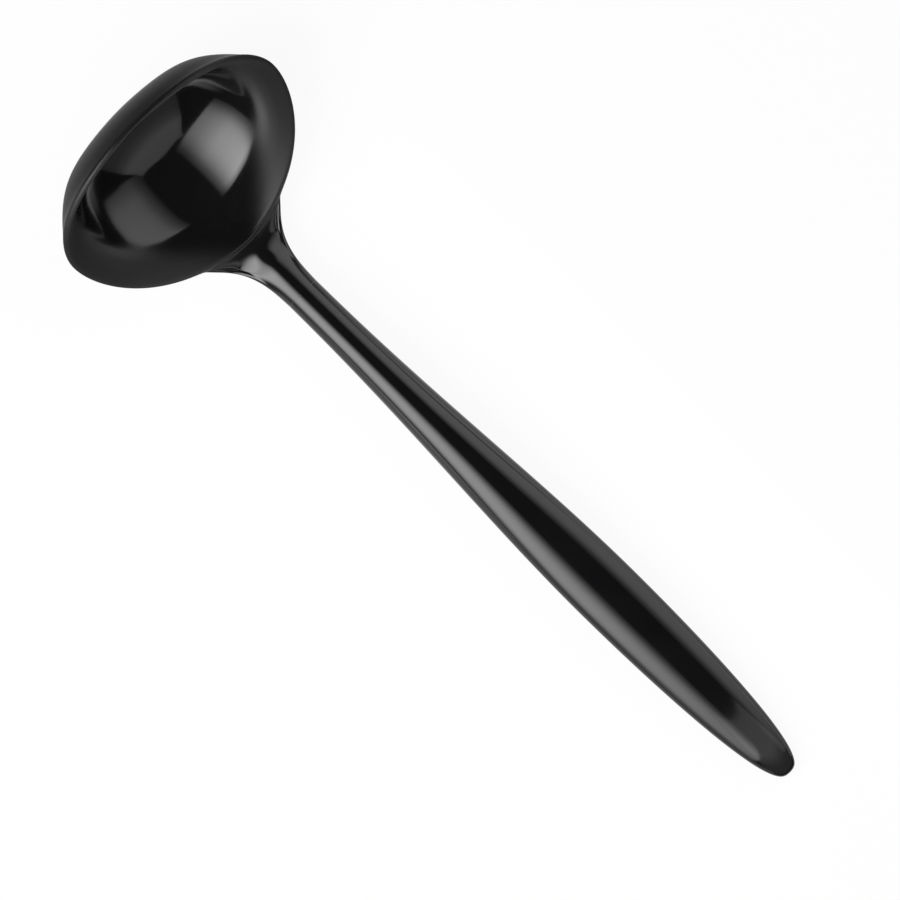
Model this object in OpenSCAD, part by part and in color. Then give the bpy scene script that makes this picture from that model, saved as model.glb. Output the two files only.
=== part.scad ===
// Serving ladle in glossy black thermoset: an oval bowl with a flared pouring lip at each
// side, and a tapered handle. It lies as it does on a table, handle along +X, mouth up.
// The bowl's neck ends in a round tang that is bonded into a socket in the handle.

/* [Bowl] */
// Width over the two pouring lips
bowl_w = 89; // [78:0.5:98]
// From the widest line forward to the front rim
bowl_front = 26; // [24:0.2:31]
// From the widest line back to the heel of the rim
bowl_back = 31.4; // [29:0.2:35]
// Depth of the pool below the front rim
bowl_depth = 22; // [19:0.5:25]
// Thickness of the moulded wall
wall = 2.6; // [2:0.1:3.2]
// Width of each flared pouring lip
lip_w = 11.6; // [9:0.1:14]
// Slope of the pouring lips at their edge
lip_angle = 18; // [10:1:30]
// How far the pouring lips lie below the front rim
lip_drop = 1.5; // [0:0.1:3]
// How far the rim climbs from the front to the heel
heel_rise = 8.6; // [7:0.1:10]
// Lean of the rim plane when the ladle lies on a table
bowl_lean = 41; // [36:1:46]

/* [Neck] */
// From the bowl's widest line to the joint with the handle
joint_at = 54; // [50:0.5:60]
// Height of the neck's centre at the joint above the table
neck_lift = 7.5; // [6.8:0.1:8.6]
// Width of the neck at the joint
neck_w = 11.8; // [10.5:0.1:14]
// Thickness of the neck at the joint
neck_t = 9.4; // [8.4:0.1:10.6]
// Diameter of the tang
tang_d = 4; // [3.4:0.1:4.6]
// Length of the tang beyond the joint face
tang_len = 16; // [10:0.5:24]

/* [Handle] */
// From the joint to the tip of the grip
handle_len = 214; // [180:1:240]
// Greatest width of the grip
grip_w = 21.5; // [18:0.1:25]
// Greatest thickness of the grip
grip_t = 10; // [8.6:0.1:12]
// Extra thickness of the shank, which is rounder half way between the neck and the grip
shank_swell = 2; // [0:0.1:3]
// From the tip of the grip back to its widest place
grip_end = 81; // [65:1:95]
// Rise of the handle's curve between its two ends
handle_arch = 4.5; // [2:0.1:7]
// Bond line round the tang
bond_gap = 0.05; // [0.02:0.01:0.15]
// Bond line between the joint faces
face_gap = 0.05; // [0.02:0.01:0.15]
// Room left for resin beyond the tang's end
well_gap = 0.5; // [0.2:0.1:1]

/* [Hidden] */

// Counts of the mesh: azimuths round the bowl, rows up a wall, rows round the lip
azimuths = 64;
pool_rows = 9;
lip_rows = 5;
rim_rows = 5;
outer_rows = 13;
neck_rings = 10;
grip_rings = 34;

// Half the columns that the neck takes at the heel, and the rows that it takes down the wall
heel_cols = 5;
heel_rows = 7;

// Deepest point of the pool below the rim plane, behind the widest line
pool_x = -9.9;
// Radius of the round pool, against its half width between the lips
pool_round = 1.44;
// Share of that radius that the pool reaches at most
pool_most = 0.97;
// Towards the sides the pool is flatter in its middle and steeper at the lip than a ball
side_pull = [1.26, 0.67];
side_steeper = 3.6;
// Width of the rim band at the front and heel, where there is no lip
front_band = 2;
heel_band = 5.8;
// Height of the front rim band, and slope of the wall below it
front_rise = 8.9;
front_slope = 72;
// Slopes of the wall at the rim: front, lip and heel
rim_slope = [84, lip_angle, 55];
// Powers that round the rim's outline: above 1 narrower towards the neck, below 1 fuller in front
heel_taper = 1.25;
front_taper = 0.93;
// Fullness of the curves: front of the pool, lip and outside
pool_full = [0.34, 0.38];
lip_full = [[0.3, 0.3], [0.3, 0.5], [0.33, 0.33]];
outer_foot = [0.27, 0.49, 0.636];
outer_side = [[1.04, 0.47], [1.05, -0.02], [1.127, 0.626]];
// Pull of the neck's strands at the bowl and at the joint
neck_pull = [0.26, 0.64];
// Angles on the neck's section where the heel's four corners run
neck_corners = [32, -38];
// Power that flattens the underside of the neck and handle, where 2 is an ellipse
under_flat = 3.2;
// Growth of the shank into the grip, and roundness of the tip
shank_growth = 1.1;
tip_round = 0.34;
// How much closer the handle's stations stand towards its tip
tip_crowding = 1.6;
// Share of the handle beyond which its underside rests on the table
rest_from = 0.5;
// How late the neck's strands turn from the handle to the rim along the crest
crest_turn = 3;
// Depth of the tang's root in the neck, and facets round the tang
tang_root = 8;
bar_sides = 48;

inner_half = bowl_w / 2 - wall / 2 * (1 + sin(lip_angle));
inner_front = bowl_front - wall;
pool_r = pool_round * (inner_half - lip_w);
tip_at = joint_at + handle_len;
grip_at = tip_at - grip_end;
half = azimuths / 2;
inner_rows = pool_rows + lip_rows;
crest_row = inner_rows + floor(rim_rows / 2);
foot_row = inner_rows + rim_rows + heel_rows - 1;

function lerp(a, b, t) = a + (b - a) * t;
function smooth(t) = let (c = min(max(t, 0), 1)) c * c * (3 - 2 * c);
function bez(a, b, c, d, t) =
    let (u = 1 - t) u * u * u * a + 3 * u * u * t * b + 3 * u * t * t * c + t * t * t * d;
function unit(v) = v / norm(v);
function dir(slope) = [cos(slope), sin(slope)];
// Value at azimuth a, from those at the front, the sides and the heel
function round_rim(v, a) = lerp(cos(a) > 0 ? v[0] : v[2], v[1], pow(sin(a), 2));

// Rim of the pool in the bowl's own frame: front at azimuth 0, heel at 180
function rim_point(a) =
    let (
        x = -cos(a) * (cos(a) > 0 ? inner_front : bowl_back),
        side = sign(sin(a)) * pow(abs(sin(a)), cos(a) < 0 ? heel_taper : front_taper),
        z = heel_rise * smooth(x / bowl_back) - lip_drop * pow(sin(a), 2)
    ) [x, inner_half * side, z];

// How squarely the section at azimuth a meets the rim's outline: 1 is square
function squareness(a) =
    let (
        rim = rim_point(a),
        along = rim_point(a + 1) - rim_point(a - 1),
        spoke = unit([rim[0] - pool_x, rim[1]]),
        away = unit([along[1], -along[0]])
    ) abs(spoke * away);

// Pull of a curve's two handles that makes it an arc of the given angle on a unit circle
function arc_pull(angle) = 4 / 3 * tan(angle / 4);

// Section of the bowl at one azimuth, from the pool's middle over the rim to the underside.
// The pool is a part of a ball, except towards the front, where its wall stands steeper.
function wall_section(a) =
    let (
        rim = rim_point(a),
        reach = norm([rim[0] - pool_x, rim[1]]),
        edge = [reach, rim[2]],
        out = reach - round_rim([front_band, lip_w, heel_band], a),
        tilt = asin(min(out / pool_r, pool_most)),
        roundness = cos(a) > 0 ? pow(sin(a), 2) : 1,
        rise = lerp(rim[2] - front_rise + bowl_depth, pool_r * (1 - cos(tilt)), roundness),
        floor_mid = [0, -bowl_depth],
        shoulder = [out, rise - bowl_depth],
        aside = pow(sin(a), 2),
        steep = dir(lerp(front_slope, tilt + side_steeper * aside, roundness)),
        arc = arc_pull(tilt) * pool_r,
        pull = [for (i = [0, 1])
            lerp(pool_full[i] * [out, rise][i], arc * lerp(1, side_pull[i], aside), roundness)],
        flare = dir(round_rim(rim_slope, a)),
        lip_len = norm(edge - shoulder),
        full = round_rim(lip_full, a),
        outward = [flare[1], -flare[0]],
        thick = wall * norm([flare[0], flare[1] / squareness(a)]),
        middle = edge + outward * thick / 2,
        under = [0, -bowl_depth - wall],
        outer_edge = edge + outward * thick,
        span = outer_edge - under,
        foot = under + [round_rim(outer_foot, a) * span[0], 0],
        share = round_rim(outer_side, a),
        flank = under + [share[0] * span[0], share[1] * span[1]],
        shoulder_out = (flank + outer_edge - flare * norm(flank - outer_edge)) / 2
    ) concat(
        [for (i = [1:pool_rows]) bez(
            floor_mid, floor_mid + [pull[0], 0], shoulder - steep * pull[1], shoulder, i / pool_rows)],
        [for (i = [1:lip_rows]) bez(
            shoulder, shoulder + steep * full[0] * lip_len,
            edge - flare * full[1] * lip_len, edge, i / lip_rows)],
        [for (i = [1:rim_rows]) let (t = 180 * i / (rim_rows + 1))
            middle + thick / 2 * (flare * sin(t) - outward * cos(t))],
        [for (i = [outer_rows:-1:1]) bez(under, foot, shoulder_out, outer_edge, i / outer_rows)]
    );

// From the bowl's own frame to the way that it lies on the table
function lay(p) = [
    p[0] * cos(bowl_lean) + p[2] * sin(bowl_lean), p[1],
    p[2] * cos(bowl_lean) - p[0] * sin(bowl_lean)];
function on_spoke(a, p) =
    let (rim = rim_point(a), spoke = unit([rim[0] - pool_x, rim[1]]))
    lay([pool_x + spoke[0] * p[0], spoke[1] * p[0], p[1]]);

columns = [for (j = [0:azimuths - 1]) let (a = 360 * j / azimuths)
    [for (p = wall_section(a)) on_spoke(a, p)]];
rows = len(columns[0]);
pool_mid = lay([pool_x, 0, -bowl_depth]);
under_mid = lay([pool_x, 0, -bowl_depth - wall]);
// The table lies under the lowest point of the bowl
table_z = min([for (c = columns) for (p = c) p[2]]);
front_x = min([for (c = columns) for (p = c) p[0]]);
middle_x = (front_x + tip_at) / 2;

// Handle: half width, half thickness and the height of its middle at station x
function grip_share(x) = smooth(pow(max(x - joint_at, 0) / (grip_at - joint_at), shank_growth));
function tip_share(x) = pow(max(1 - pow(max(x - grip_at, 0) / grip_end, 2), 0), tip_round);
function half_w(x) = lerp(neck_w, grip_w, grip_share(x)) / 2 * tip_share(x);
function swell(x) = shank_swell * pow(sin(180 * min(max(x - joint_at, 0) / (grip_at - joint_at), 1)), 2);
function half_t(x) = (lerp(neck_t, grip_t, grip_share(x)) + swell(x)) / 2 * tip_share(x);
function along(x) = (x - joint_at) / handle_len;
function neck_hold(t) = pow(1 - t, 3) + 3 * pow(1 - t, 2) * t;
function arch_height(t) = 3 * t * (1 - t) * handle_arch;
// Stations of the handle, closer together towards the round tip
stations = [for (i = [0:grip_rings - 1]) let (t = i / grip_rings)
    joint_at + handle_len * (1 - pow(1 - t, tip_crowding))];
// Height of the tip's middle at which the grip's underside just meets the table
tip_lift = max([for (x = stations) let (t = along(x)) if (t > rest_from)
    (half_t(x) - neck_lift * neck_hold(t) - arch_height(t)) / (1 - neck_hold(t))]);
function middle_z(x) = let (t = along(x))
    table_z + neck_lift * neck_hold(t) + tip_lift * (1 - neck_hold(t)) + arch_height(t);

// Angles round a section of the neck or handle, in step with the loop round the heel
across = 2 * heel_cols;
down = foot_row - crest_row;
ring_angles = let (t = neck_corners[0], b = neck_corners[1]) concat(
    [for (k = [0:across - 1]) lerp(180 - t, t, k / across)],
    [for (k = [0:down - 1]) lerp(t, b, k / down)],
    [for (k = [0:across - 1]) lerp(b, -180 - b, k / across)],
    [for (k = [0:down - 1]) lerp(-180 - b, -180 - t, k / down)]);
ring_len = len(ring_angles);
// Share of the half width or thickness at angle a: round on top and flatter underneath
function bulge(v, a) = sign(v) * pow(abs(v), sin(a) < 0 ? 2 / under_flat : 1);
function ring(x) = [for (a = ring_angles)
    [x, -half_w(x) * bulge(cos(a), a), middle_z(x) + half_t(x) * bulge(sin(a), a)]];

// Loop round the heel where the neck grows out of the bowl: crest, side, foot, side
heel_loop = concat(
    [for (j = [-heel_cols:heel_cols - 1]) [crest_row, half + j]],
    [for (i = [crest_row:foot_row - 1]) [i, half + heel_cols]],
    [for (j = [heel_cols:-1:1 - heel_cols]) [foot_row, half + j]],
    [for (i = [foot_row:-1:crest_row + 1]) [i, half - heel_cols]]);
function at(cell) = columns[cell[1]][cell[0]];
axis = [1, 0, 0];
joint_ring = ring(joint_at);
// Way in which strand k of the neck leaves the bowl: off the crest towards the handle, and
// elsewhere along the bowl's own surface, so that the neck flows out of it
function strand_start(k) =
    let (
        i = heel_loop[k][0],
        j = heel_loop[k][1],
        turn = unit(at([i, j + 1]) - at([i, j - 1])),
        climb = unit(at([i - 1, j]) - at([i + 1, j])),
        level = unit(cross(turn, climb)),
        way = joint_ring[k] - at([i, j]),
        edge = (j - half) / heel_cols
    )
    i == crest_row && abs(edge) < 1 ? unit(lerp(axis, -sign(edge) * turn, pow(abs(edge), crest_turn))) :
    unit(way - level * (level * way));

strands = [for (k = [0:ring_len - 1])
    let (
        a = at(heel_loop[k]),
        b = joint_ring[k],
        gap = norm(b - a)
    ) [for (i = [1:neck_rings]) bez(
        a, a + strand_start(k) * neck_pull[0] * gap,
        b - axis * neck_pull[1] * gap, b, i / neck_rings)]];

// Two triangles between a and b on one line, and c and d on the next
function quad(a, b, c, d) = [[a, b, c], [a, c, d]];
function in_heel(i, j) =
    i >= crest_row && i < foot_row && j >= half - heel_cols && j < half + heel_cols;

module bowl_shell() {
    shell = [for (c = columns) for (p = c) p];
    neck = [for (i = [0:neck_rings - 1]) for (s = strands) s[i]];
    pole = len(shell);
    neck_from = pole + 2;
    function cell(i, j) = (j % azimuths) * rows + i;
    function strand(i, k) = let (n = k % ring_len)
        i == 0 ? cell(heel_loop[n][0], heel_loop[n][1]) : neck_from + (i - 1) * ring_len + n;
    wall_faces = [for (j = [0:azimuths - 1]) for (i = [0:rows - 2]) if (!in_heel(i, j))
        for (f = quad(cell(i, j), cell(i + 1, j), cell(i + 1, j + 1), cell(i, j + 1))) f];
    pool_faces = [for (j = [0:azimuths - 1]) [pole, cell(0, j), cell(0, j + 1)]];
    under_faces = [for (j = [0:azimuths - 1]) [pole + 1, cell(rows - 1, j + 1), cell(rows - 1, j)]];
    neck_faces = [for (i = [0:neck_rings - 1]) for (k = [0:ring_len - 1])
        for (f = quad(strand(i, k), strand(i + 1, k), strand(i + 1, k + 1), strand(i, k + 1))) f];
    joint_face = [[for (k = [ring_len - 1:-1:0]) strand(neck_rings, k)]];
    polyhedron(
        concat(shell, [pool_mid, under_mid], neck),
        concat(wall_faces, pool_faces, under_faces, neck_faces, joint_face));
}

module handle_body() {
    sections = [for (x = stations) ring(max(x, joint_at + face_gap))];
    count = len(stations);
    function spot(i, k) = i * ring_len + k % ring_len;
    skin = [for (i = [0:count - 2]) for (k = [0:ring_len - 1])
        for (f = quad(spot(i, k), spot(i + 1, k), spot(i + 1, k + 1), spot(i, k + 1))) f];
    tip = [tip_at, 0, middle_z(tip_at)];
    tip_faces = [for (k = [0:ring_len - 1])
        [spot(count - 1, k), count * ring_len, spot(count - 1, k + 1)]];
    joint_face = [[for (k = [0:ring_len - 1]) spot(0, k)]];
    polyhedron(concat([for (s = sections) for (p = s) p], [tip]), concat(skin, tip_faces, joint_face));
}

// Round bar along the handle, centred on the neck, from before the joint to beyond it
module joint_bar(d, before, beyond)
    translate([joint_at - before, 0, middle_z(joint_at)])
        rotate([0, 90, 0]) cylinder(d = d, h = before + beyond, $fn = bar_sides);

module on_table() translate([-middle_x, 0, -table_z]) children();

module bowl() color([0.03, 0.03, 0.035]) on_table() {
    bowl_shell();
    joint_bar(tang_d, tang_root, tang_len);
}

module handle() color([0.03, 0.03, 0.035]) on_table() difference() {
    handle_body();
    joint_bar(tang_d + 2 * bond_gap, tang_root, tang_len + well_gap);
}

bowl();
handle();
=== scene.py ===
"""Looks of a glossy black serving ladle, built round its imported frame.

The ladle is two mouldings. The bowl has a flared pouring lip at each side and a neck that flows
out of its heel, and the neck ends in a round tang. The handle swells into a flattened grip and
has the socket that the tang is bonded into. Both skins start from a grid and grow ring by ring.
Shapes are worked out in millimetres, in the way that the ladle lies on a table.
"""

import logging
import math
from collections.abc import Callable, Iterable, Sequence
from dataclasses import dataclass
from enum import Enum

import bmesh
import bpy
from bmesh.types import BMVert
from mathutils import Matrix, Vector

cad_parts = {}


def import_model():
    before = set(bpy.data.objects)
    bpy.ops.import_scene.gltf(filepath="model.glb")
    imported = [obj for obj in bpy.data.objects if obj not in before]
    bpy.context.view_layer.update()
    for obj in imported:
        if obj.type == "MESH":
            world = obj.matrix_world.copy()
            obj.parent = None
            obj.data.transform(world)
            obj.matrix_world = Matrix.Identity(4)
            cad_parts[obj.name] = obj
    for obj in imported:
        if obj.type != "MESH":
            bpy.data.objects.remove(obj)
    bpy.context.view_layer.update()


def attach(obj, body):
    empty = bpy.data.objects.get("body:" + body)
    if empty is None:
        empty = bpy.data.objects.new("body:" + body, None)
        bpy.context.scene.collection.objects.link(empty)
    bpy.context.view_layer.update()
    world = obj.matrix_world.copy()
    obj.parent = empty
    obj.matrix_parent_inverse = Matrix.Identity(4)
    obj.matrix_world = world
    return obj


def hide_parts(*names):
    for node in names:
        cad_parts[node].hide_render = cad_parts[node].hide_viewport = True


LOG = logging.getLogger("ladle")
MM = 0.001
AXIS = Vector((1, 0, 0))
WEAR = "rim_wear"
SCUFF = "lip_scuff"
CREASE = "crease_edge"


class Piece(Enum):
    """The two mouldings, by the names of the nodes that they stand for."""

    BOWL = "bowl"
    HANDLE = "handle"


def mix(a: float | Vector, b: float | Vector, t: float) -> float | Vector:
    """Value a share t of the way from a to b."""
    return a + (b - a) * t


def ease(t: float) -> float:
    """Smooth step from 0 to 1 that starts and ends level."""
    held = min(max(t, 0.0), 1.0)
    return held * held * (3 - 2 * held)


def early(t: float) -> float:
    """Smooth step that is done half way from 0 to 1."""
    return ease(t * 2)


def bezier(a: Vector, b: Vector, c: Vector, d: Vector, t: float) -> Vector:
    """Point at t on the cubic curve from a to d that b and c pull."""
    u = 1 - t
    return a * u**3 + b * (3 * u * u * t) + c * (3 * u * t * t) + d * t**3


def slope(degrees: float) -> Vector:
    """Direction in a section, outward and up, at a slope in degrees."""
    angle = math.radians(degrees)
    return Vector((math.cos(angle), math.sin(angle)))


@dataclass(frozen=True)
class Around:
    """A size that changes round the rim: at the front, at the sides and at the heel."""

    front: float
    side: float
    heel: float

    def at(self, turn: float) -> float:
        """Size at an azimuth in radians from the front."""
        end = self.front if math.cos(turn) > 0 else self.heel
        return mix(end, self.side, math.sin(turn) ** 2)


class RingSkin:
    """A skin that starts as a square grid bent into a cap and grows ring by ring.

    Attributes:
        mesh: The bmesh that holds the skin.
        rings: The rings grown so far, the cap's own edge first.
    """

    def __init__(self, cells: int) -> None:
        """Start the skin.

        Args:
            cells: Cells along a side of the grid. A ring has four times as many points.
        """
        self.cells = cells
        self.mesh = bmesh.new()
        self.crease = self.mesh.edges.layers.float.new(CREASE)
        self.wear = self.mesh.verts.layers.float.new(WEAR)
        self.scuff = self.mesh.verts.layers.float.new(SCUFF)
        self.rings: list[list[BMVert]] = []

    def cap(self, turns: Sequence[float], place: Callable[[Vector], Vector]) -> list[BMVert]:
        """Make a grid and bend it into a cap whose edge is a ring.

        Args:
            turns: Angle in radians of each point of the edge.
            place: Where a point of the unit disc goes.

        Returns:
            The points of the cap's edge, in order.
        """
        made = bmesh.ops.create_grid(
            self.mesh, x_segments=self.cells, y_segments=self.cells, size=self.cells / 2)
        grid = {self._cell(vert): vert for vert in made["verts"]}
        edge = self._edge_cells()
        disc = {cell: Vector((math.cos(a), math.sin(a))) for cell, a in zip(edge, turns, strict=True)}
        for cell, vert in grid.items():
            vert.co = place(self._inside(cell, disc))
        return [grid[cell] for cell in edge]

    def _cell(self, vert: BMVert) -> tuple[int, int]:
        """Column and row of a fresh grid's point."""
        half = self.cells / 2
        return round(vert.co.x + half), round(vert.co.y + half)

    def _edge_cells(self) -> list[tuple[int, int]]:
        """Columns and rows round the grid's edge, anticlockwise from its first corner.

        Returns:
            The cells, one for each point of a ring.
        """
        n = self.cells
        run = range(n)
        return (
            [(i, 0) for i in run]
            + [(n, i) for i in run]
            + [(n - i, n) for i in run]
            + [(0, n - i) for i in run]
        )

    def _inside(self, cell: tuple[int, int], disc: dict[tuple[int, int], Vector]) -> Vector:
        """Point of the disc for a grid cell, blended from the four sides of the edge.

        Args:
            cell: Column and row of the point.
            disc: Places of the edge's points on the unit circle.

        Returns:
            The point's place in the unit disc.
        """
        n = self.cells
        column, row = cell
        u, v = column / n, row / n
        across = mix(disc[(0, row)], disc[(n, row)], u)
        along = mix(disc[(column, 0)], disc[(column, n)], v)
        low = mix(disc[(0, 0)], disc[(n, 0)], u)
        high = mix(disc[(0, n)], disc[(n, n)], u)
        return across + along - mix(low, high, v)

    def start(self, ring: list[BMVert]) -> None:
        """Take a ring of points as the open edge to grow from."""
        self.rings = [ring]

    def grow(self, points: Iterable[Vector]) -> list[BMVert]:
        """Extrude the last ring and put its points in place.

        Args:
            points: New places, one for each point of the last ring.

        Returns:
            The new ring.
        """
        last = self.rings[-1]
        made = bmesh.ops.extrude_edge_only(self.mesh, edges=self.edges(last))
        fresh = {item for item in made["geom"] if isinstance(item, BMVert)}
        ring = [self._raised(vert, fresh) for vert in last]
        for vert, point in zip(ring, points, strict=True):
            vert.co = point
        self.rings.append(ring)
        return ring

    @staticmethod
    def _raised(vert: BMVert, fresh: set[BMVert]) -> BMVert:
        """The fresh point that an extrusion raised from a point."""
        return next(e.other_vert(vert) for e in vert.link_edges if e.other_vert(vert) in fresh)

    def edges(self, ring: Sequence[BMVert]) -> list[bmesh.types.BMEdge]:
        """Edges of a closed ring of points."""
        return [self.mesh.edges.get((a, b)) for a, b in zip(ring, [*ring[1:], ring[0]], strict=True)]

    def weld(self, ring: Sequence[BMVert]) -> None:
        """Weld the last ring to the edge of another cap."""
        pairs = dict(zip(ring, self.rings[-1], strict=True))
        bmesh.ops.weld_verts(self.mesh, targetmap=pairs)

    def sharpen(self, ring: Sequence[BMVert]) -> None:
        """Keep a ring crisp under the subdivision.

        Args:
            ring: Points of the ring.
        """
        for edge in self.edges(ring):
            edge[self.crease] = 1.0
            edge.smooth = False

    def fill(self) -> None:
        """Close the last ring with a flat face."""
        bmesh.ops.edgeloop_fill(self.mesh, edges=self.edges(self.rings[-1]))

    def finish(self, piece: Piece, shift: Vector, levels: int) -> bpy.types.Object:
        """Turn the skin into the object of a piece.

        Args:
            piece: The piece that the skin is.
            shift: Way from the shape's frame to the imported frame, in millimetres.
            levels: Levels of subdivision.

        Returns:
            The object, with its place in its mesh and in metres.
        """
        bmesh.ops.translate(self.mesh, vec=shift, verts=self.mesh.verts)
        bmesh.ops.scale(self.mesh, vec=Vector((MM, MM, MM)), verts=self.mesh.verts)
        bmesh.ops.recalc_face_normals(self.mesh, faces=self.mesh.faces)
        data = bpy.data.meshes.new(f"{piece.value}_moulding")
        self.mesh.to_mesh(data)
        self.mesh.free()
        data.shade_smooth()
        made = bpy.data.objects.new(f"{piece.value}_moulding", data)
        bpy.context.scene.collection.objects.link(made)
        smooth = made.modifiers.new("smooth", "SUBSURF")
        smooth.levels = levels
        smooth.render_levels = levels
        return made


@dataclass(frozen=True)
class Joint:
    """The bonded joint between the neck and the handle.

    Attributes:
        at: Station of the joint, behind the bowl's widest line.
        lift: Height of the neck's centre above the table.
        width: Width of the neck.
        thick: Thickness of the neck.
        tang: Diameter of the tang.
        tang_length: Length of the tang beyond the joint.
        bond: Bond line round the tang.
        face: Bond line between the two faces.
        well: Room for resin beyond the tang's end.
        nose: Chamfer at the end of the tang.
    """

    at: float = 54.0
    lift: float = 7.5
    width: float = 11.8
    thick: float = 9.4
    tang: float = 4.0
    tang_length: float = 16.0
    bond: float = 0.05
    face: float = 0.05
    well: float = 0.5
    nose: float = 0.6


@dataclass(frozen=True)
class Handle:
    """The handle: a shank that swells into a flattened grip with a round tip.

    Attributes:
        joint: The joint at its front end.
        length: From the joint to the tip.
        width: Greatest width of the grip.
        thick: Thickness of the grip where it is widest.
        shank_swell: Extra thickness of the rounder shank, half way to the grip.
        end: From the tip back to the widest place.
        arch: Rise of the curve between the two ends.
        growth: How late the shank grows into the grip.
        rest_from: Share of the length beyond which the underside can meet the table.
        roundness: Power that rounds the tip.
        under_flat: Power that flattens the underside, where 2 is an ellipse.
        corners: Angles on a section where the heel's corners run, above and below.
        cells: Points of a section between two such corners.
        stations: Rings from the tip's cap to the joint.
        crowding: How much closer the rings stand towards the tip.
        cap: Length of the tip's cap.
    """

    joint: Joint
    length: float = 214.0
    width: float = 21.5
    thick: float = 10.0
    shank_swell: float = 2.0
    end: float = 81.0
    arch: float = 4.5
    growth: float = 1.1
    rest_from: float = 0.5
    roundness: float = 0.34
    under_flat: float = 3.2
    corners: tuple[float, float] = (32.0, -38.0)
    cells: int = 10
    stations: int = 40
    crowding: float = 1.6
    cap: float = 1.0

    @property
    def tip(self) -> float:
        """Station of the tip."""
        return self.joint.at + self.length

    @property
    def widest(self) -> float:
        """Station of the grip's widest place."""
        return self.tip - self.end

    def turns(self) -> list[float]:
        """Angles round a section: over the top, down a side, under, and up the other side.

        Returns:
            The angles in radians, one for each point of a ring.
        """
        top, low = self.corners
        stops = [180 - top, top, low, -180 - low, -180 - top]
        return [
            math.radians(mix(a, b, k / self.cells))
            for a, b in zip(stops, stops[1:])
            for k in range(self.cells)
        ]

    def _shank_run(self, x: float) -> float:
        """Share of the way from the joint to the grip's widest place at a station."""
        return max(x - self.joint.at, 0) / (self.widest - self.joint.at)

    def _grip_share(self, x: float) -> float:
        """Share of the way from the neck's section to the grip's at a station."""
        return ease(self._shank_run(x) ** self.growth)

    def _tip_share(self, x: float) -> float:
        """Share of the section that the tip's round end leaves at a station."""
        run = max(x - self.widest, 0) / self.end
        return max(1 - run * run, 0) ** self.roundness

    def half_width(self, x: float) -> float:
        """Half the width at a station."""
        return mix(self.joint.width, self.width, self._grip_share(x)) / 2 * self._tip_share(x)

    def half_thick(self, x: float) -> float:
        """Half the thickness at a station.

        Args:
            x: The station.

        Returns:
            The half, in millimetres.
        """
        swell = self.shank_swell * math.sin(math.pi * min(self._shank_run(x), 1)) ** 2
        plain = mix(self.joint.thick, self.thick, self._grip_share(x))
        return (plain + swell) / 2 * self._tip_share(x)

    def _along(self, x: float) -> float:
        """Share of the handle's length at a station."""
        return (x - self.joint.at) / self.length

    @staticmethod
    def _neck_hold(t: float) -> float:
        """How much of the neck's height is left a share t along the handle."""
        return (1 - t) ** 3 + 3 * (1 - t) ** 2 * t

    def _arch_height(self, t: float) -> float:
        """Rise of the arch a share t along the handle."""
        return 3 * t * (1 - t) * self.arch

    def tip_lift(self) -> float:
        """Height of the tip's middle at which the grip's underside just meets the table.

        Returns:
            The height, in millimetres.
        """
        lifts = []
        for x in self.ring_stations():
            t = self._along(x)
            if t > self.rest_from:
                held = self._neck_hold(t)
                short = self.half_thick(x) - self.joint.lift * held - self._arch_height(t)
                lifts.append(short / (1 - held))
        return max(lifts)

    def middle(self, x: float, tip_lift: float) -> float:
        """Height of the middle above the table at a station.

        Args:
            x: The station.
            tip_lift: Height of the tip's middle.

        Returns:
            The height, in millimetres.
        """
        t = self._along(x)
        held = self._neck_hold(t)
        return self.joint.lift * held + tip_lift * (1 - held) + self._arch_height(t)

    def ring_stations(self) -> list[float]:
        """Stations of the rings, from the edge of the tip's cap to the joint."""
        run = self.length - self.cap - self.joint.face
        return [
            self.tip - self.cap - run * (k / self.stations) ** self.crowding
            for k in range(self.stations + 1)
        ]

    def ring(self, x: float) -> list[Vector]:
        """Points of the section at a station, above a table at height 0."""
        lift = self.tip_lift()
        return [self._skin_point(x, turn, lift) for turn in self.turns()]

    def _skin_point(self, x: float, turn: float, lift: float) -> Vector:
        """Point of the skin at a station and an angle.

        Args:
            x: The station.
            turn: Angle round the section.
            lift: Height of the tip's middle.

        Returns:
            The point, above a table at height 0.
        """
        bulge = self._bulge(turn)
        across = -self.half_width(x) * bulge.x
        up = self.half_thick(x) * bulge.y
        return Vector((x, across, self.middle(x, lift) + up))

    def _bulge(self, turn: float) -> Vector:
        """Shares of the half width and thickness at an angle: round on top, flatter underneath.

        Args:
            turn: Angle round the section.

        Returns:
            The two shares, with their signs.
        """
        way = Vector((math.cos(turn), math.sin(turn)))
        power = 2 / self.under_flat if way.y < 0 else 1.0
        return Vector([math.copysign(abs(part) ** power, part) for part in way])

    def _cap_point(self, disc: Vector, lift: float) -> Vector:
        """Point of the tip's cap for a point of the unit disc.

        Args:
            disc: Point of the unit disc.
            lift: Height of the tip's middle.

        Returns:
            The point, above a table at height 0.
        """
        x = self.tip - self.cap * disc.length ** (1 / self.roundness)
        edge = self.tip - self.cap
        reach = self._bulge(math.atan2(disc.y, disc.x)) * disc.length
        across = -self.half_width(edge) * reach.x
        up = self.half_thick(edge) * reach.y
        return Vector((x, across, self.middle(x, lift) + up))

    def round_bar(self, x: float, radius: float) -> list[Vector]:
        """Ring of a round bar on the joint's axis, in step with a section."""
        lift = self.joint.lift
        return [
            Vector((x, -radius * math.cos(turn), lift + radius * math.sin(turn))) for turn in self.turns()
        ]

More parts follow.
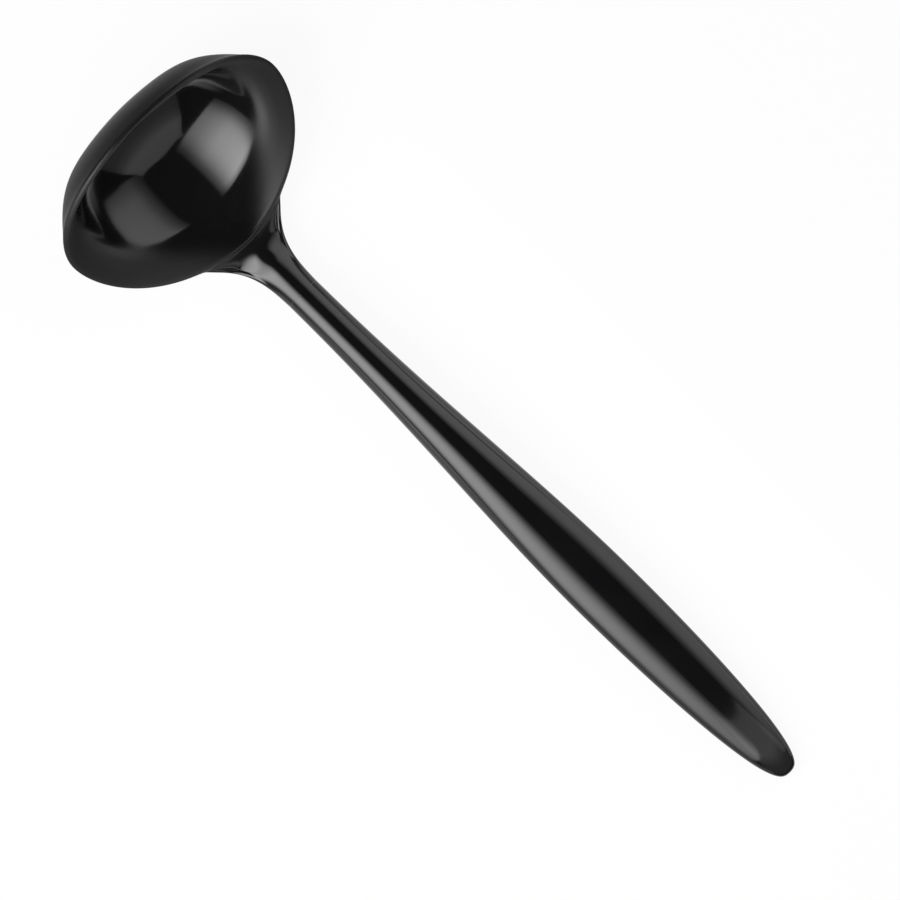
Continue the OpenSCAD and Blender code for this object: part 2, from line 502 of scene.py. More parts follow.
    def build(self, shift: Vector, levels: int) -> bpy.types.Object:
        """Build the handle with the socket for the tang.

        Args:
            shift: Way from the shape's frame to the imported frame, in millimetres.
            levels: Levels of subdivision.

        Returns:
            The handle's object.
        """
        lift = self.tip_lift()
        skin = RingSkin(self.cells)
        skin.start(skin.cap(self.turns(), lambda disc: self._cap_point(disc, lift)))
        for x in self.ring_stations()[1:]:
            ring = skin.grow(self.ring(x))
        skin.sharpen(ring)
        bore = self.joint.tang / 2 + self.joint.bond
        face = self.joint.at + self.joint.face
        depth = self.joint.at + self.joint.tang_length + self.joint.well
        skin.sharpen(skin.grow(self.round_bar(face, bore)))
        skin.sharpen(skin.grow(self.round_bar(depth, bore)))
        skin.fill()
        return skin.finish(Piece.HANDLE, shift, levels)


@dataclass(frozen=True)
class Section:
    """Curves of the bowl's wall at one azimuth, in distance from the pool's middle and height.

    Attributes:
        pool: Curve from the pool's middle to the shoulder.
        lip: Curve from the shoulder to the inner edge of the rim.
        rim_middle: Middle of the rim's round edge.
        thick: Thickness of the rim along the section.
        flare: Direction of the lip at the rim.
        outside: Curve from under the pool's middle to the outer edge of the rim.
    """

    pool: tuple[Vector, Vector, Vector, Vector]
    lip: tuple[Vector, Vector, Vector, Vector]
    rim_middle: Vector
    thick: float
    flare: Vector
    outside: tuple[Vector, Vector, Vector, Vector]


@dataclass(frozen=True)
class Bowl:
    """The bowl: a deep pool with a flared pouring lip at each side, and the neck.

    Attributes:
        handle: The handle that the neck runs into.
        width: Width over the two lips.
        front: From the widest line forward to the front rim.
        back: From the widest line back to the heel of the rim.
        depth: Depth of the pool below the front rim.
        wall: Thickness of the wall.
        lip_drop: How far the lips lie below the front rim.
        heel_rise: How far the rim climbs from the front to the heel.
        lean: Lean of the rim plane on the table, in degrees.
        pool_at: Deepest point of the pool below the rim plane, behind the widest line.
        pool_round: Radius of the round pool, against its half width between the lips.
        side_pull: How much flatter the pool's middle and how much tighter its shoulder is at the sides.
        side_steeper: How much steeper the shoulder is there than a ball, in degrees.
        band_width: Width of the band between the pool and the rim.
        front_rise: Height of that band at the front.
        front_slope: Slope of the wall below it, in degrees.
        rim_slope: Slope of the wall at the rim, in degrees.
        heel_taper: Power that narrows the rim's outline towards the neck.
        front_taper: Power that fills the outline's front corners.
        front_pull: Fullness of the pool's front at the middle and at the shoulder.
        lip_start: Fullness of the lip's curve at the shoulder.
        lip_end: Fullness of the lip's curve at the rim.
        foot: Fullness of the outside under the pool.
        flank_out: Reach of the outside's flank.
        flank_up: Height of the outside's flank.
        roll: How far the outside rolls over towards the rim at the front, in degrees.
        roll_tuck: How much shorter the roll makes the outside's upper pull.
        roll_focus: Power that keeps the roll to the front.
        neck_pull: Pull of the neck's strands at the bowl and at the joint.
        crest_turn: Power that keeps the turn of the crest's strands to the heel's corners.
        neck_camber: How far the neck's upper side falls away from its ridge.
        camber_reach: Distance from the ridge over which it falls.
        camber_run: Shares of the neck over which the camber comes at the bowl and goes at the joint.
        neck_polish: Share of the wear and scuffs that a ring of the neck keeps of the one before it.
        cells: Cells of the caps in the middle of the pool and under it.
        pool_rows: Rows from the pool's middle to the shoulder, and those that the cap takes.
        lip_rows: Rows over the lip.
        rim_rows: Rows round the rim's edge, an odd number.
        outside_rows: Rows down the outside, and those that the lower cap takes.
        heel_columns: Half the columns that the neck takes at the heel.
        heel_rows: Rows that it takes down the outside.
        neck_rings: Rings along the neck.
        wear_rows: Rows beyond the rim's edge that its wear reaches.
        scuff_rows: Rows over which the lips' and the front's scuffs set in.
        front_scuff: How scuffed the front is by scraping along pots, against the lips.
        front_rows: Rows below the crest at the front over which its scuffs run out.
    """

    handle: Handle
    width: float = 89.0
    front: float = 26.0
    back: float = 31.4
    depth: float = 22.0
    wall: float = 2.6
    lip_drop: float = 1.5
    heel_rise: float = 8.6
    lean: float = 41.0
    pool_at: float = -9.9
    pool_round: float = 1.44
    side_pull: tuple[float, float] = (1.26, 0.67)
    side_steeper: float = 3.6
    band_width: Around = Around(2.0, 11.6, 5.8)
    front_rise: float = 8.9
    front_slope: float = 72.0
    rim_slope: Around = Around(84.0, 18.0, 55.0)
    heel_taper: float = 1.25
    front_taper: float = 0.93
    front_pull: tuple[float, float] = (0.34, 0.38)
    lip_start: Around = Around(0.3, 0.3, 0.33)
    lip_end: Around = Around(0.3, 0.5, 0.33)
    foot: Around = Around(0.27, 0.49, 0.636)
    flank_out: Around = Around(1.04, 1.05, 1.127)
    flank_up: Around = Around(0.47, -0.02, 0.626)
    roll: float = 34.0
    roll_tuck: float = 0.3
    roll_focus: int = 4
    neck_pull: tuple[float, float] = (0.26, 0.64)
    crest_turn: int = 3
    neck_camber: float = 2.8
    camber_reach: float = 9.0
    camber_run: tuple[float, float] = (0.4, 0.5)
    neck_polish: float = 0.5
    cells: int = 16
    pool_rows: tuple[int, int] = (9, 4)
    lip_rows: int = 5
    rim_rows: int = 5
    outside_rows: tuple[int, int] = (15, 5)
    heel_columns: int = 5
    heel_rows: int = 8
    neck_rings: int = 10
    wear_rows: int = 2
    scuff_rows: int = 4
    front_scuff: float = 0.6
    front_rows: int = 13

    @property
    def azimuths(self) -> int:
        """Points of a ring round the bowl."""
        return 4 * self.cells

    def turn(self, column: int) -> float:
        """Azimuth of a column, in radians from the front."""
        return 2 * math.pi * column / self.azimuths

    def turns(self) -> list[float]:
        """Azimuths of all the columns."""
        return [self.turn(j) for j in range(self.azimuths)]

    @property
    def inner_half(self) -> float:
        """Half the width between the inner edges of the lips."""
        return self.width / 2 - self.wall / 2 * (1 + slope(self.rim_slope.side).y)

    @property
    def pool_radius(self) -> float:
        """Radius of the round pool."""
        return self.pool_round * (self.inner_half - self.band_width.side)

    def rim(self, turn: float) -> Vector:
        """Inner edge of the rim at an azimuth, in the bowl's own frame.

        Args:
            turn: Azimuth in radians from the front.

        Returns:
            The point, with the rim's plane level.
        """
        ahead, aside = math.cos(turn), math.sin(turn)
        inner_front = self.front - self.wall
        x = -ahead * (inner_front if ahead > 0 else self.back)
        taper = self.heel_taper if ahead < 0 else self.front_taper
        y = math.copysign(self.inner_half * abs(aside) ** taper, aside)
        z = self.heel_rise * ease(x / self.back) - self.lip_drop * aside**2
        return Vector((x, y, z))

    def section(self, turn: float) -> Section:
        """Curves of the wall at an azimuth.

        Args:
            turn: Azimuth in radians from the front.

        Returns:
            The section, measured outward from the pool's middle and up.
        """
        rim = self.rim(turn)
        edge = Vector((math.hypot(rim.x - self.pool_at, rim.y), rim.z))
        pool, steep = self._pool(edge, turn)
        shoulder = pool[3]
        flare = slope(self.rim_slope.at(turn))
        outward = Vector((flare.y, -flare.x))
        band = (edge - shoulder).length
        lip = (
            shoulder,
            shoulder + steep * (self.lip_start.at(turn) * band),
            edge - flare * (self.lip_end.at(turn) * band),
            edge,
        )
        thick = self.wall * Vector((flare.x, flare.y / self._squareness(turn))).length
        under = Vector((0, -self.depth - self.wall))
        outer = edge + outward * thick
        span = outer - under
        flank = under + Vector((self.flank_out.at(turn) * span.x, self.flank_up.at(turn) * span.y))
        outside = (
            under,
            under + Vector((self.foot.at(turn) * span.x, 0)),
            self._rolled((flank + outer - flare * (flank - outer).length) / 2, outer, turn),
            outer,
        )
        return Section(pool, lip, edge + outward * (thick / 2), thick, flare, outside)

    def _rolled(self, pull: Vector, outer: Vector, turn: float) -> Vector:
        """Swing the outside's upper pull outward about the rim, where the outside rolls over to it.

        Args:
            pull: The pull of a plain outside.
            outer: Outer edge of the rim in the section.
            turn: Azimuth in radians from the front.

        Returns:
            The swung pull.
        """
        share = max(math.cos(turn), 0.0) ** self.roll_focus
        way = slope(self.roll * share)
        arm = (pull - outer) * (1 - self.roll_tuck * share)
        return outer + Vector((arm.x * way.x - arm.y * way.y, arm.x * way.y + arm.y * way.x))

    def _squareness(self, turn: float) -> float:
        """How squarely the section at an azimuth meets the rim's outline: 1 is square.

        Args:
            turn: Azimuth in radians from the front.

        Returns:
            The cosine of the angle off square.
        """
        step = math.radians(1)
        rim = self.rim(turn)
        along = self.rim(turn + step) - self.rim(turn - step)
        spoke = Vector((rim.x - self.pool_at, rim.y)).normalized()
        return abs(spoke.dot(Vector((along.y, -along.x)).normalized()))

    def _pool(self, edge: Vector, turn: float) -> tuple[tuple[Vector, Vector, Vector, Vector], Vector]:
        """Curve of the pool at an azimuth: part of a ball, and steeper towards the front.

        Args:
            edge: Inner edge of the rim in the section.
            turn: Azimuth in radians from the front.

        Returns:
            The curve, and its direction where it ends at the shoulder.
        """
        radius = self.pool_radius
        out = edge.x - self.band_width.at(turn)
        tilt = math.asin(out / radius)
        roundness = math.sin(turn) ** 2 if math.cos(turn) > 0 else 1.0
        rise = mix(edge.y - self.front_rise + self.depth, radius * (1 - math.cos(tilt)), roundness)
        aside = math.sin(turn) ** 2
        steep = slope(mix(self.front_slope, math.degrees(tilt) + self.side_steeper * aside, roundness))
        arc_pull = 4 / 3 * math.tan(tilt / 4) * radius
        middle_pull, shoulder_pull = (arc_pull * mix(1.0, pull, aside) for pull in self.side_pull)
        at_middle = mix(self.front_pull[0] * out, middle_pull, roundness)
        at_shoulder = mix(self.front_pull[1] * rise, shoulder_pull, roundness)
        middle = Vector((0, -self.depth))
        shoulder = Vector((out, rise - self.depth))
        return (middle, middle + Vector((at_middle, 0)), shoulder - steep * at_shoulder, shoulder), steep

    def place(self, turn: float, point: Vector) -> Vector:
        """Put a point of a section on its spoke, in the way that the bowl lies.

        Args:
            turn: Azimuth of the section.
            point: Distance from the pool's middle and height.

        Returns:
            The point in the shape's frame.
        """
        rim = self.rim(turn)
        spoke = Vector((rim.x - self.pool_at, rim.y)).normalized() * point.x
        x, z = self.pool_at + spoke.x, point.y
        lean = slope(self.lean)
        return Vector((x * lean.x + z * lean.y, spoke.y, z * lean.x - x * lean.y))

    def _rim_point(self, section: Section, share: float) -> Vector:
        """Point round the rim's edge, from its inner edge at 0 to its outer at 1.

        Args:
            section: Curves of the wall at the azimuth.
            share: Place round the edge.

        Returns:
            The point in the section.
        """
        outward = Vector((section.flare.y, -section.flare.x))
        angle = math.pi * share
        reach = section.flare * math.sin(angle) - outward * math.cos(angle)
        return section.rim_middle + reach * (section.thick / 2)

    def _cap_point(self, disc: Vector, inside: bool) -> Vector:
        """Point of the cap in the pool's middle, or of the one under it.

        Args:
            disc: Point of the unit disc.
            inside: Whether the cap is the pool's.

        Returns:
            The point in the shape's frame.
        """
        rows, held = self.pool_rows if inside else self.outside_rows
        turn = math.atan2(disc.y, disc.x)
        section = self.section(turn)
        curve = section.pool if inside else section.outside
        return self.place(turn, bezier(*curve, disc.length * held / rows))

    def _rows(self, section: Section) -> list[Vector]:
        """Points of a section beyond the pool's cap: pool, lip, rim and outside.

        Args:
            section: Curves of the wall at the azimuth.

        Returns:
            The points in order, in the section.
        """
        rows, held = self.pool_rows
        outer_rows, outer_held = self.outside_rows
        points = [bezier(*section.pool, i / rows) for i in range(held + 1, rows + 1)]
        points += [bezier(*section.lip, i / self.lip_rows) for i in range(1, self.lip_rows + 1)]
        points += [self._rim_point(section, i / (self.rim_rows + 1)) for i in range(1, self.rim_rows + 1)]
        points += [bezier(*section.outside, i / outer_rows) for i in range(outer_rows, outer_held - 1, -1)]
        return points

    def columns(self) -> list[list[Vector]]:
        """Points of every column beyond the pool's cap, in the shape's frame."""
        return [
            [self.place(turn, point) for point in self._rows(self.section(turn))] for turn in self.turns()
        ]

    @property
    def crest_row(self) -> int:
        """Ring that runs along the rim's crest, counted from the pool's cap."""
        rows, held = self.pool_rows
        return rows - held + self.lip_rows + self.rim_rows // 2 + 1

    @property
    def foot_row(self) -> int:
        """Ring at the neck's lower edge, counted from the pool's cap."""
        return self.crest_row + self.rim_rows // 2 + self.heel_rows

    def heel_loop(self) -> list[tuple[int, int]]:
        """Rings and columns round the patch of the heel that the neck grows from.

        Returns:
            The cells in order, in step with the handle's section.
        """
        half, wide = self.azimuths // 2, self.heel_columns
        crest, foot = self.crest_row, self.foot_row
        return (
            [(crest, half + j) for j in range(-wide, wide)]
            + [(i, half + wide) for i in range(crest, foot)]
            + [(foot, half + j) for j in range(wide, -wide, -1)]
            + [(i, half - wide) for i in range(foot, crest, -1)]
        )

    def _strand_way(self, skin: RingSkin, cell: tuple[int, int], goal: Vector) -> Vector:
        """Way in which a strand of the neck leaves the bowl.

        Off the crest it heads for the handle, and elsewhere it keeps to the bowl's own surface,
        so that the neck flows out of it.

        Args:
            skin: The bowl's skin.
            cell: Ring and column that the strand leaves from.
            goal: Point of the joint that it runs to.

        Returns:
            A unit vector.
        """
        i, j = cell
        here = skin.rings[i][j].co
        turn = (skin.rings[i][j + 1].co - skin.rings[i][j - 1].co).normalized()
        edge = (j - self.azimuths // 2) / self.heel_columns
        if i == self.crest_row and abs(edge) < 1:
            along_rim = turn * -math.copysign(1, edge)
            return mix(AXIS, along_rim, abs(edge) ** self.crest_turn).normalized()
        climb = (skin.rings[i - 1][j].co - skin.rings[i + 1][j].co).normalized()
        level = turn.cross(climb).normalized()
        way = goal - here
        return (way - level * level.dot(way)).normalized()

    def _grow_neck(self, skin: RingSkin, table: float) -> None:
        """Open the heel and grow the neck and the tang out of it.

        Args:
            skin: The bowl's skin.
            table: Height of the table in the shape's frame.
        """
        loop = self.heel_loop()
        raise_up = Vector((0, 0, table))
        goals = [point + raise_up for point in self.handle.ring(self.handle.joint.at)]
        strands = []
        for cell, goal in zip(loop, goals, strict=True):
            start = skin.rings[cell[0]][cell[1]].co.copy()
            gap = (goal - start).length
            leave = start + self._strand_way(skin, cell, goal) * (self.neck_pull[0] * gap)
            strands.append((start, leave, goal - AXIS * (self.neck_pull[1] * gap), goal))
        self._open_heel(skin)
        skin.start([skin.rings[i][j] for i, j in loop])
        for k in range(1, self.neck_rings + 1):
            share = k / self.neck_rings
            ring = skin.grow(self._cambered([bezier(*strand, share) for strand in strands], share))
            for vert in ring:
                vert[skin.wear] *= self.neck_polish
                vert[skin.scuff] *= self.neck_polish
        skin.sharpen(ring)
        joint = self.handle.joint
        radius, end = joint.tang / 2, joint.at + joint.tang_length
        profile = [(joint.at, radius), (end - joint.nose, radius), (end, radius - joint.nose)]
        for x, reach in profile:
            bar = [point + raise_up for point in self.handle.round_bar(x, reach)]
            skin.sharpen(skin.grow(bar))
        skin.fill()

    def _cambered(self, ring: list[Vector], share: float) -> list[Vector]:
        """Let the neck's upper side fall away from its ridge, and leave its underside.

        Args:
            ring: Points of one ring of the neck.
            share: Place of the ring, from the bowl at 0 to the joint at 1.

        Returns:
            The lowered points.
        """
        come, go = self.camber_run
        camber = self.neck_camber * ease(share / come) * ease((1 - share) / go)
        low = min(point.z for point in ring)
        high = max(point.z for point in ring)
        lowered = []
        for point in ring:
            aside = min(abs(point.y) / self.camber_reach, 1.0)
            fall = math.sin(math.pi / 2 * aside) ** 2 * (point.z - low) / (high - low)
            lowered.append(point - Vector((0, 0, camber * fall)))
        return lowered

    def _open_heel(self, skin: RingSkin) -> None:
        """Delete the faces of the heel that the neck takes the place of.

        Args:
            skin: The bowl's skin.
        """
        half, wide = self.azimuths // 2, self.heel_columns
        patch = {
            skin.rings[i][j]
            for i in range(self.crest_row, self.foot_row + 1)
            for j in range(half - wide, half + wide + 1)
        }
        faces = [face for face in skin.mesh.faces if all(vert in patch for vert in face.verts)]
        bmesh.ops.delete(skin.mesh, geom=faces, context="FACES")

    def _mark_wear(self, skin: RingSkin) -> None:
        """Note on the skin where its rim is worn, and where its lips and its front are scuffed.

        Args:
            skin: The bowl's skin.
        """
        reach = self.rim_rows // 2 + self.wear_rows
        shoulder = self.pool_rows[0] - self.pool_rows[1]
        for i, ring in enumerate(skin.rings):
            below = i - self.crest_row
            worn = ease(1 - abs(below) / reach)
            lip = worn if below > 0 else ease((i - shoulder) / self.scuff_rows)
            front = ease(below / self.scuff_rows) * early((self.front_rows - below) / self.front_rows)
            for j, vert in enumerate(ring):
                turn = self.turn(j)
                scraped = self.front_scuff * front * early(math.cos(turn))
                vert[skin.wear] = worn
                vert[skin.scuff] = max(lip * abs(math.sin(turn)), scraped)

    def build(self, levels: int) -> tuple[bpy.types.Object, Vector]:
        """Build the bowl with its neck and tang.

        Args:
            levels: Levels of subdivision.

        Returns:
            The bowl's object, and the way from the shape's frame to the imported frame.
        """
        columns = self.columns()
        table = min(point.z for column in columns for point in column)
        foremost = min(point.x for column in columns for point in column)
        middle = (foremost + self.handle.tip) / 2
        turns = self.turns()
        skin = RingSkin(self.cells)
        skin.start(skin.cap(turns, lambda disc: self._cap_point(disc, inside=True)))
        for row in zip(*columns, strict=True):
            skin.grow(row)
        skin.weld(skin.cap(turns, lambda disc: self._cap_point(disc, inside=False)))
        self._mark_wear(skin)
        self._grow_neck(skin, table)
        shift = Vector((-middle, 0, -table))
        return skin.finish(Piece.BOWL, shift, levels), shift


class Graph:
    """Node tree of a finish, a floor, a lamp or a world."""

    def __init__(self, tree: bpy.types.NodeTree) -> None:
        """Take over a tree and clear it."""
        self.tree = tree
        tree.nodes.clear()

    def node(
        self,
        kind: str,
        settings: dict[str, object] | None = None,
        sockets: dict[str | int, object] | None = None,
        output: str | int = 0,
    ) -> "Wire":
        """Add one node.

        Args:
            kind: Type of the node.
            settings: Its properties, and the stops of a ramp as pairs of place and grey.
            sockets: Values or wires for its inputs.
            output: Output to carry on from.

        Returns:
            The output, or a loose end for a node that has none.
        """
        made = self.tree.nodes.new(kind)
        for name, value in (settings or {}).items():
            if name == "stops":
                self._set_stops(made.color_ramp, value)
            else:
                setattr(made, name, value)
        for name, value in (sockets or {}).items():
            if isinstance(value, Wire):
                self.tree.links.new(value.socket, made.inputs[name])
            else:
                made.inputs[name].default_value = value
        return Wire(self, made.outputs[output] if made.outputs else None)

    @staticmethod
    def _set_stops(ramp: bpy.types.ColorRamp, stops: Sequence[tuple[float, float]]) -> None:
        """Set a ramp's stops to greys.

        Args:
            ramp: The ramp.
            stops: Pairs of place and grey.
        """
        while len(ramp.elements) < len(stops):
            ramp.elements.new(1.0)
        for element, (position, grey) in zip(ramp.elements, stops, strict=True):
            element.position = position
            element.color = (grey, grey, grey, 1)


@dataclass(frozen=True)
class Wire:
    """An output of a node. Arithmetic on wires adds Math nodes.

    Attributes:
        graph: The tree that the output is in.
        socket: The output itself.
    """

    graph: Graph
    socket: bpy.types.NodeSocket | None

    def _math(self, operation: str, first: "Wire | float", second: "Wire | float") -> "Wire":
        """Add a Math node."""
        return self.graph.node("ShaderNodeMath", {"operation": operation}, {0: first, 1: second})

    def __add__(self, other: "Wire | float") -> "Wire":
        """Sum."""
        return self._math("ADD", self, other)

    def __radd__(self, other: float) -> "Wire":
        """Sum with a number in front."""
        return self._math("ADD", other, self)

    def __sub__(self, other: "Wire | float") -> "Wire":
        """Difference."""
        return self._math("SUBTRACT", self, other)

    def __rsub__(self, other: float) -> "Wire":
        """Difference from a number."""
        return self._math("SUBTRACT", other, self)

    def __mul__(self, other: "Wire | float") -> "Wire":
        """Product."""
        return self._math("MULTIPLY", self, other)

    def __rmul__(self, other: float) -> "Wire":
        """Product with a number in front."""
        return self._math("MULTIPLY", other, self)


@dataclass(frozen=True)
class GlossBlack:
    """Finish of the mouldings: thermoset resin, black throughout and polished by the mould.

    Attributes:
        name: Name of the material.
        dark: Colour of the resin.
        pale: Colour of its faint clouds and of a worn edge.
        ior: Index of refraction of the resin.
        gloss: Roughness of the polished skin.
        haze: Roughness that handling adds in patches.
        worn: Roughness that wear adds along an edge.
        scratch: Roughness that a fine scratch adds.
        scuffed: Roughness that pouring and scraping add on the lips and the front.
        ripple: Depth of the skin's slow ripple, in metres.
        mottle: How much of the paler colour the clouds and the wear bring in.
        patches: Stops that pick the hazy patches out of the noise.
        lines: Stops that pick the scratches out of the noise.
        drawn_out: Features of that noise to the metre along the ladle, across it and through it.
    """

    name: str = "gloss_black_resin"
    dark: tuple[float, float, float, float] = (0.0035, 0.0035, 0.004, 1)
    pale: tuple[float, float, float, float] = (0.008, 0.008, 0.0085, 1)
    ior: float = 1.5
    gloss: float = 0.07
    haze: float = 0.05
    worn: float = 0.1
    scratch: float = 0.08
    scuffed: float = 0.88
    ripple: float = 0.00002
    mottle: float = 0.5
    patches: tuple[tuple[float, float], ...] = ((0.45, 0.0), (0.75, 1.0))
    lines: tuple[tuple[float, float], ...] = ((0.66, 0.0), (0.72, 1.0))
    drawn_out: tuple[float, float, float] = (60, 2500, 2500)

    def make(self) -> bpy.types.Material:
        """Make the material.

        Returns:
            The material.
        """
        material = bpy.data.materials.new(self.name)
        material.use_nodes = True
        graph = Graph(material.node_tree)
        place = graph.node("ShaderNodeTexCoord", output="Object")
        wear, scuff = (
            graph.node("ShaderNodeAttribute", {"attribute_name": layer}, output="Fac")
            for layer in (WEAR, SCUFF)
        )
        clouds = self._noise(graph, place, scale=90, detail=4)
        smears = self._noise(graph, place, scale=35, detail=3)
        scratches = self._scratches(graph, place)
        worn = wear * self._noise(graph, place, scale=400, detail=2)
        tint = graph.node(
            "ShaderNodeMix",
            {"data_type": "RGBA"},
            {"Factor": (clouds + worn) * self.mottle, "A": self.dark, "B": self.pale},
            output="Result",
        )
        patch = graph.node("ShaderNodeValToRGB", {"stops": self.patches}, {0: smears})
        fine = worn * self.worn + scratches * self.scratch
        rough = self.gloss + patch * self.haze + scuff * self.scuffed + fine
        ripples = self._noise(graph, place, scale=70, detail=1)
        bump = graph.node(
            "ShaderNodeBump", sockets={"Strength": 1.0, "Distance": self.ripple, "Height": ripples})
        shader = graph.node(
            "ShaderNodeBsdfPrincipled",
            sockets={"Base Color": tint, "Roughness": rough, "Normal": bump, "IOR": self.ior},
        )
        graph.node("ShaderNodeOutputMaterial", sockets={"Surface": shader})
        return material

    @staticmethod
    def _noise(graph: Graph, place: Wire, scale: float, detail: float) -> Wire:
        """Noise over the object, with a scale in features to the metre."""
        return graph.node("ShaderNodeTexNoise", sockets={"Vector": place, "Scale": scale, "Detail": detail})

    def _scratches(self, graph: Graph, place: Wire) -> Wire:
        """Sparse fine scratches, drawn out along the ladle.

        Args:
            graph: Tree of the material.
            place: Object coordinates.

        Returns:
            A wire that is up to 1 on a scratch and 0 off it.
        """
        drawn = graph.node("ShaderNodeMapping", sockets={"Vector": place, "Scale": self.drawn_out})
        streaks = self._noise(graph, drawn, scale=1, detail=2)
        fine = graph.node("ShaderNodeValToRGB", {"stops": self.lines}, {0: streaks})
        return fine * self._noise(graph, place, scale=50, detail=1)


@dataclass(frozen=True)
class Softbox:
    """A rectangular lamp that looks at the ladle, with a face that fades towards its edges.

    Attributes:
        name: Name of the lamp.
        place: Its middle, in metres.
        aim: The point that it faces.
        size: Its width and height.
        radiance: How bright its face is at most, with white as 1.
        across: Places over its width and the shares of that brightness there.
        upward: Places over its height and the shares there.
    """

    name: str
    place: tuple[float, float, float]
    aim: tuple[float, float, float]
    size: tuple[float, float]
    radiance: float
    across: tuple[tuple[float, float], ...]
    upward: tuple[tuple[float, float], ...]

    def make(self) -> None:
        """Make the lamp and hang it in the studio."""
        lamp = bpy.data.lights.new(self.name, "AREA")
        lamp.shape = "RECTANGLE"
        lamp.size, lamp.size_y = self.size
        lamp.energy = self.radiance * math.pi * self.size[0] * self.size[1]
        self._fade(lamp)
        made = bpy.data.objects.new(self.name, lamp)
        made.location = self.place
        way = Vector(self.aim) - Vector(self.place)
        made.rotation_euler = way.to_track_quat("-Z", "Y").to_euler()
        made.visible_camera = False
        bpy.context.scene.collection.objects.link(made)

    def _fade(self, lamp: bpy.types.Light) -> None:
        """Let the lamp's face fade over its width and height.

        Args:
            lamp: The lamp's data.
        """
        lamp.use_nodes = True
        graph = Graph(lamp.node_tree)
        face = graph.node("ShaderNodeNewGeometry", output="Parametric")
        shares = []
        for axis, stops in (("X", self.across), ("Y", self.upward)):
            place = graph.node("ShaderNodeSeparateXYZ", sockets={0: face}, output=axis)
            shares.append(graph.node("ShaderNodeValToRGB", {"stops": stops}, {0: place}))
        glow = graph.node("ShaderNodeEmission", sockets={"Strength": shares[0] * shares[1]})
        graph.node("ShaderNodeOutputLight", sockets={"Surface": glow})


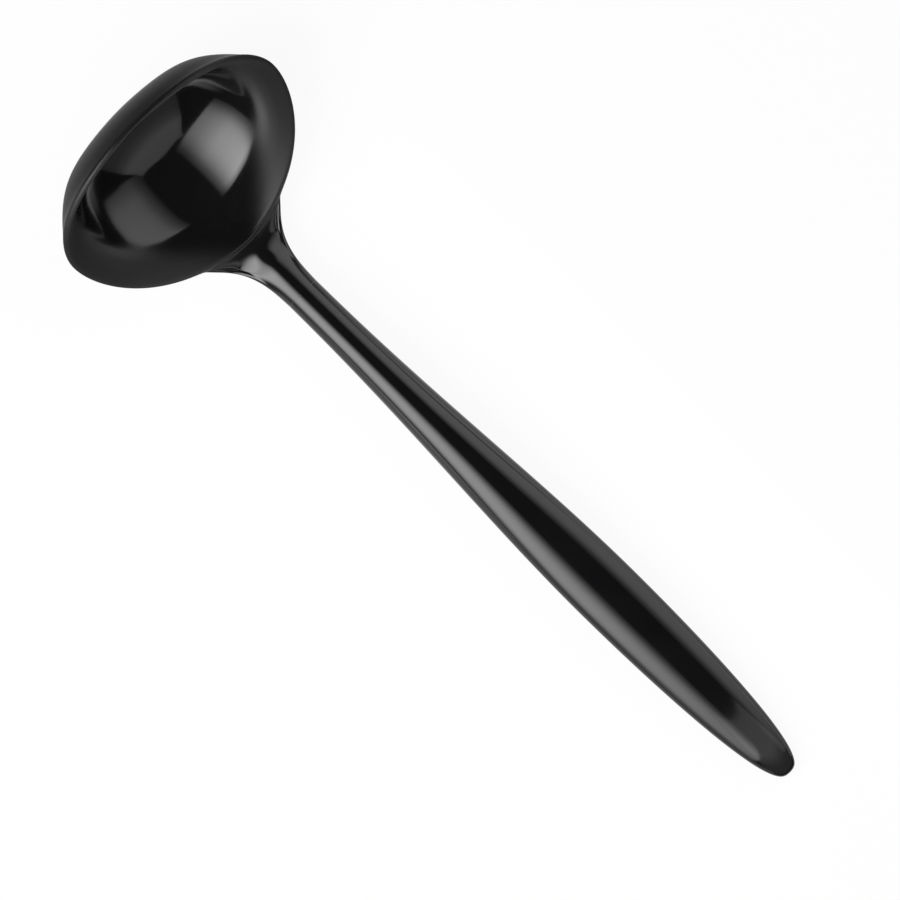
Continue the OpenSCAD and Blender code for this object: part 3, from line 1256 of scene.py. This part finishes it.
@dataclass(frozen=True)
class Studio:
    """Floor, lamps, world and camera.

    Attributes:
        floor_half: Half the floor's side.
        floor_pale: Grey of the floor.
        floor_white: How much of the floor shows as plain white.
        ceiling: Grey of the world overhead.
        view_turn: Turn of the picture against the ladle, in degrees.
        view_middle: Point of the ladle's frame at the picture's middle.
        view_width: Width of the picture there.
        view_height: Height of the camera above that point.
        lamps: The lamps.
    """

    floor_half: float = 6.0
    floor_pale: float = 0.8
    floor_white: float = 0.93
    ceiling: float = 0.02
    view_turn: float = 44.49
    view_middle: tuple[float, float, float] = (0.0003, -0.0027, 0.02)
    view_width: float = 0.28
    view_height: float = 2.4
    lamps: tuple[Softbox, ...] = (
        Softbox(
            name="bright_softbox",
            place=(-0.04, -0.66, 0.75),
            aim=(-0.04, 0.04, 0.05),
            size=(1.15, 1.22),
            radiance=7.8,
            across=(
                (0.0, 0.35), (0.16, 1.0), (0.41, 0.88), (0.61, 0.76),
                (0.72, 0.58), (0.85, 0.43), (1.0, 0.32),
            ),
            upward=(
                (0.0, 0.1), (0.08, 0.22), (0.17, 0.5), (0.26, 0.8), (0.36, 0.95), (0.48, 1.0),
                (0.61, 0.95), (0.7, 0.8), (0.8, 0.52), (0.9, 0.2), (1.0, 0.04),
            ),
        ),
        Softbox(
            name="bright_card",
            place=(0.05, -0.062, 0.013),
            aim=(0.05, 0.0, 0.013),
            size=(0.27, 0.026),
            radiance=2.2,
            across=((0.0, 0.0), (0.12, 0.7), (0.25, 1.0), (0.5, 0.45), (1.0, 0.4)),
            upward=((0.0, 0.0), (0.35, 0.1), (0.5, 0.6), (0.8, 1.0), (1.0, 0.7)),
        ),
        Softbox(
            name="dim_softbox",
            place=(0.05, 0.783, 0.637),
            aim=(0.05, 0.383, 0.237),
            size=(1.22, 0.91),
            radiance=1.75,
            across=((0.0, 0.3), (0.12, 0.5), (0.3, 0.85), (0.6, 1.0), (1.0, 1.0)),
            upward=(
                (0.0, 0.5), (0.12, 0.95), (0.3, 1.0), (0.6, 0.95), (0.72, 0.8), (0.83, 0.45), (1.0, 0.05),
            ),
        ),
        Softbox(
            name="dim_card",
            place=(0.05, 0.062, 0.013),
            aim=(0.05, 0.0, 0.013),
            size=(0.27, 0.026),
            radiance=1.65,
            across=((0.0, 0.8), (0.5, 0.95), (0.75, 1.0), (0.88, 0.7), (1.0, 0.0)),
            upward=((0.0, 0.0), (0.35, 0.2), (0.5, 0.85), (0.8, 1.0), (1.0, 0.6)),
        ),
        Softbox(
            name="end_softbox",
            place=(0.27, 0.0, 0.3),
            aim=(0.0, 0.0, 0.3),
            size=(0.52, 0.5),
            radiance=0.98,
            across=((0.0, 0.8), (0.1, 1.0), (0.9, 1.0), (1.0, 0.8)),
            upward=((0.0, 0.25), (0.3, 0.34), (0.42, 0.55), (0.55, 1.0), (1.0, 0.85)),
        ),
    )

    def build(self) -> None:
        """Set up the floor, the lamps, the world and the camera."""
        self._floor()
        self._world()
        for lamp in self.lamps:
            lamp.make()
        self._camera()
        bpy.context.scene.view_settings.view_transform = "Standard"

    def _floor(self) -> None:
        """Lay a plain floor that shows white and keeps a faint shadow."""
        mesh = bmesh.new()
        bmesh.ops.create_grid(mesh, x_segments=1, y_segments=1, size=self.floor_half)
        data = bpy.data.meshes.new("floor")
        mesh.to_mesh(data)
        mesh.free()
        floor = bpy.data.objects.new("floor", data)
        bpy.context.scene.collection.objects.link(floor)
        material = bpy.data.materials.new("pale_floor")
        material.use_nodes = True
        graph = Graph(material.node_tree)
        shown = self._shown(graph)
        grey = (self.floor_pale, self.floor_pale, self.floor_pale, 1)
        card = graph.node("ShaderNodeBsdfDiffuse", sockets={"Color": grey})
        white = graph.node("ShaderNodeEmission", sockets={"Strength": 1.0})
        mixed = graph.node(
            "ShaderNodeMixShader", sockets={0: shown * self.floor_white, 1: card, 2: white})
        graph.node("ShaderNodeOutputMaterial", sockets={"Surface": mixed})
        data.materials.append(material)

    @staticmethod
    def _shown(graph: Graph) -> Wire:
        """1 for the rays by which the picture shows the backdrop, straight or mirrored.

        Args:
            graph: Tree of the backdrop's material.

        Returns:
            The mask.
        """
        kinds = ("Is Camera Ray", "Is Glossy Ray", "Is Transmission Ray")
        camera, glossy, through = (graph.node("ShaderNodeLightPath", output=kind) for kind in kinds)
        return camera + glossy + through

    def _world(self) -> None:
        """Make a world that is white to the camera and nearly dark otherwise."""
        world = bpy.data.worlds.new("studio")
        world.use_nodes = True
        bpy.context.scene.world = world
        graph = Graph(world.node_tree)
        camera = graph.node("ShaderNodeLightPath", output="Is Camera Ray")
        strength = self.ceiling + camera * (1 - self.ceiling)
        backdrop = graph.node("ShaderNodeBackground", sockets={"Strength": strength})
        graph.node("ShaderNodeOutputWorld", sockets={"Surface": backdrop})

    def _camera(self) -> None:
        """Hang the camera over the ladle, looking straight down."""
        data = bpy.data.cameras.new("camera")
        data.lens = data.sensor_width * self.view_height / self.view_width
        camera = bpy.data.objects.new("camera", data)
        camera.location = Vector(self.view_middle) + Vector((0, 0, self.view_height))
        camera.rotation_euler = (0, 0, math.radians(self.view_turn))
        bpy.context.scene.collection.objects.link(camera)
        bpy.context.scene.camera = camera


def dress(made: bpy.types.Object, piece: Piece, finish: bpy.types.Material) -> None:
    """Give a moulding its finish, and let it stand for its node.

    Args:
        made: The moulding's object.
        piece: Which moulding it is.
        finish: Its material.
    """
    made.data.materials.append(finish)
    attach(made, "root")
    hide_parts(piece.value)
    LOG.info("%s stands for %s with %d faces", made.name, piece.value, len(made.data.polygons))


def main() -> None:
    """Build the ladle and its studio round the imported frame."""
    logging.basicConfig(level=logging.INFO, format="%(name)s: %(message)s")
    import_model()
    Studio().build()
    finish = GlossBlack().make()
    handle = Handle(Joint())
    bowl_object, shift = Bowl(handle).build(levels=2)
    dress(bowl_object, Piece.BOWL, finish)
    dress(handle.build(Vector((shift.x, 0, 0)), levels=2), Piece.HANDLE, finish)


if __name__ == "__main__":
    main()
